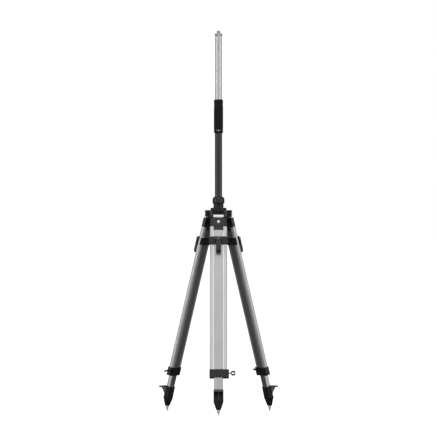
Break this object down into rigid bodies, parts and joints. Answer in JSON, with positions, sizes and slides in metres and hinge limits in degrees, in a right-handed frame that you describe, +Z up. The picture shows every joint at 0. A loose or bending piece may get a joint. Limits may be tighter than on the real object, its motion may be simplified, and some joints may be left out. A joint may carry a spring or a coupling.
{
  "type": "surveying tripod with telescopic pole",
  "caption": "Surveying tripod with sliding aluminium legs, round head and clamped telescopic pole ending in a threaded stud for a laser level.",
  "frame": {"origin": "on the ground under the pole's axis, level with the three spike tips", "axes": "+Z up along the pole, -Y towards the front leg, +X to the right seen from the front"},
  "size_m": [0.5266, 0.4766, 1.682],
  "materials": {
    "rail_aluminium": "satin extruded",
    "inner_aluminium": "satin drawn",
    "mast_aluminium": "satin anodised",
    "machined_aluminium": "bright machined",
    "black_casting": "satin black",
    "grey_casting": "satin dark grey",
    "shoe_casting": "black, worn on the pedal",
    "lever_plastic": "moulded",
    "nut_plastic": "moulded",
    "grip_plastic": "moulded, ribbed",
    "composite_tube": "woven fibre under clear coat",
    "white_mark": "printed",
    "nylon": "natural",
    "steel": "zinc plated",
    "spike_steel": "turned"
  },
  "bodies": {
    "head": {"head_plate": "black_casting", "hinge_pins": "steel", "collet_base": "black_casting", "flange_screws": "steel", "pole_bush": "nylon"},
    "collet_nut": {"collet_nut": "nut_plastic"},
    "pole": {"lower_pole": "composite_tube", "pole_end_plug": "nylon", "mast_guide_bush": "nylon", "grip_bottom_collar": "grip_plastic", "grip_top_collar": "grip_plastic", "index_mark": "white_mark"},
    "grip": {"grip_sleeve": "grip_plastic"},
    "mast": {"mast_tube": "mast_aluminium", "mast_foot_bush": "nylon", "top_adapter": "machined_aluminium", "mounting_stud": "steel"},
    "front_leg": {"front_rails": "rail_aluminium", "front_cap": "black_casting", "front_knuckle": "machined_aluminium", "front_cap_bolt": "steel", "front_band": "grey_casting", "front_lever_pin": "steel", "front_clamp": "black_casting", "front_clamp_plate": "grey_casting"},
    "front_lever": {"front_lever": "lever_plastic"},
    "front_screw": {"front_clamp_screw": "black_casting"},
    "front_foot": {"front_inner_leg": "inner_aluminium", "front_shoe": "shoe_casting", "front_spike": "spike_steel", "front_shoe_rivets": "steel"},
    "right_leg": {"right_rails": "rail_aluminium", "right_cap": "black_casting", "right_knuckle": "machined_aluminium", "right_cap_bolt": "steel", "right_band": "grey_casting", "right_lever_pin": "steel", "right_clamp": "black_casting", "right_clamp_plate": "grey_casting"},
    "right_lever": {"right_lever": "lever_plastic"},
    "right_screw": {"right_clamp_screw": "black_casting"},
    "right_foot": {"right_inner_leg": "inner_aluminium", "right_shoe": "shoe_casting", "right_spike": "spike_steel", "right_shoe_rivets": "steel"},
    "left_leg": {"left_rails": "rail_aluminium", "left_cap": "black_casting", "left_knuckle": "machined_aluminium", "left_cap_bolt": "steel", "left_band": "grey_casting", "left_lever_pin": "steel", "left_clamp": "black_casting", "left_clamp_plate": "grey_casting"},
    "left_lever": {"left_lever": "lever_plastic"},
    "left_screw": {"left_clamp_screw": "black_casting"},
    "left_foot": {"left_inner_leg": "inner_aluminium", "left_shoe": "shoe_casting", "left_spike": "spike_steel", "left_shoe_rivets": "steel"}
  },
  "joints": [
    {"name": "collet_nut_turn", "type": "hinge", "parent": "head", "child": "collet_nut", "pos_m": [0, 0, 0.938], "axis": [0, 0, 1], "range_deg": [0, 180]},
    {"name": "pole_slide", "type": "slide", "parent": "head", "child": "pole", "axis": [0, 0, 1], "range_m": [-0.275, 0.22]},
    {"name": "grip_turn", "type": "hinge", "parent": "pole", "child": "grip", "pos_m": [0, 0, 1.3], "axis": [0, 0, 1], "range_deg": [0, 90]},
    {"name": "mast_slide", "type": "slide", "parent": "pole", "child": "mast", "axis": [0, 0, 1], "range_m": [-0.27, 0.15]},
    {"name": "front_leg_swing", "type": "hinge", "parent": "head", "child": "front_leg", "pos_m": [0, -0.044, 0.866], "axis": [-1, 0, 0], "range_deg": [-15, 12]},
    {"name": "front_leg_extend", "type": "slide", "parent": "front_leg", "child": "front_foot", "axis": [0, -0.2588, -0.9659], "range_m": [0, 0.48]},
    {"name": "front_lever_flip", "type": "hinge", "parent": "front_leg", "child": "front_lever", "pos_m": [0, -0.09996, 0.76919], "axis": [-1, 0, 0], "range_deg": [0, 120]},
    {"name": "front_screw_turn", "type": "hinge", "parent": "front_leg", "child": "front_screw", "pos_m": [0.05, -0.2266, 0.18454], "axis": [-1, 0, 0], "range_deg": [0, 360]},
    {"name": "right_leg_swing", "type": "hinge", "parent": "head", "child": "right_leg", "pos_m": [0.0381, 0.022, 0.866], "axis": [0.5, -0.866, 0], "range_deg": [-15, 12]},
    {"name": "right_leg_extend", "type": "slide", "parent": "right_leg", "child": "right_foot", "axis": [0.2241, 0.1294, -0.9659], "range_m": [0, 0.48]},
    {"name": "right_lever_flip", "type": "hinge", "parent": "right_leg", "child": "right_lever", "pos_m": [0.08657, 0.04998, 0.76919], "axis": [0.5, -0.866, 0], "range_deg": [0, 120]},
    {"name": "right_screw_turn", "type": "hinge", "parent": "right_leg", "child": "right_screw", "pos_m": [0.17124, 0.1566, 0.18454], "axis": [0.5, -0.866, 0], "range_deg": [0, 360]},
    {"name": "left_leg_swing", "type": "hinge", "parent": "head", "child": "left_leg", "pos_m": [-0.0381, 0.022, 0.866], "axis": [0.5, 0.866, 0], "range_deg": [-15, 12]},
    {"name": "left_leg_extend", "type": "slide", "parent": "left_leg", "child": "left_foot", "axis": [-0.2241, 0.1294, -0.9659], "range_m": [0, 0.48]},
    {"name": "left_lever_flip", "type": "hinge", "parent": "left_leg", "child": "left_lever", "pos_m": [-0.08657, 0.04998, 0.76919], "axis": [0.5, 0.866, 0], "range_deg": [0, 120]},
    {"name": "left_screw_turn", "type": "hinge", "parent": "left_leg", "child": "left_screw", "pos_m": [-0.22124, 0.07, 0.18454], "axis": [0.5, 0.866, 0], "range_deg": [0, 360]}
  ]
}
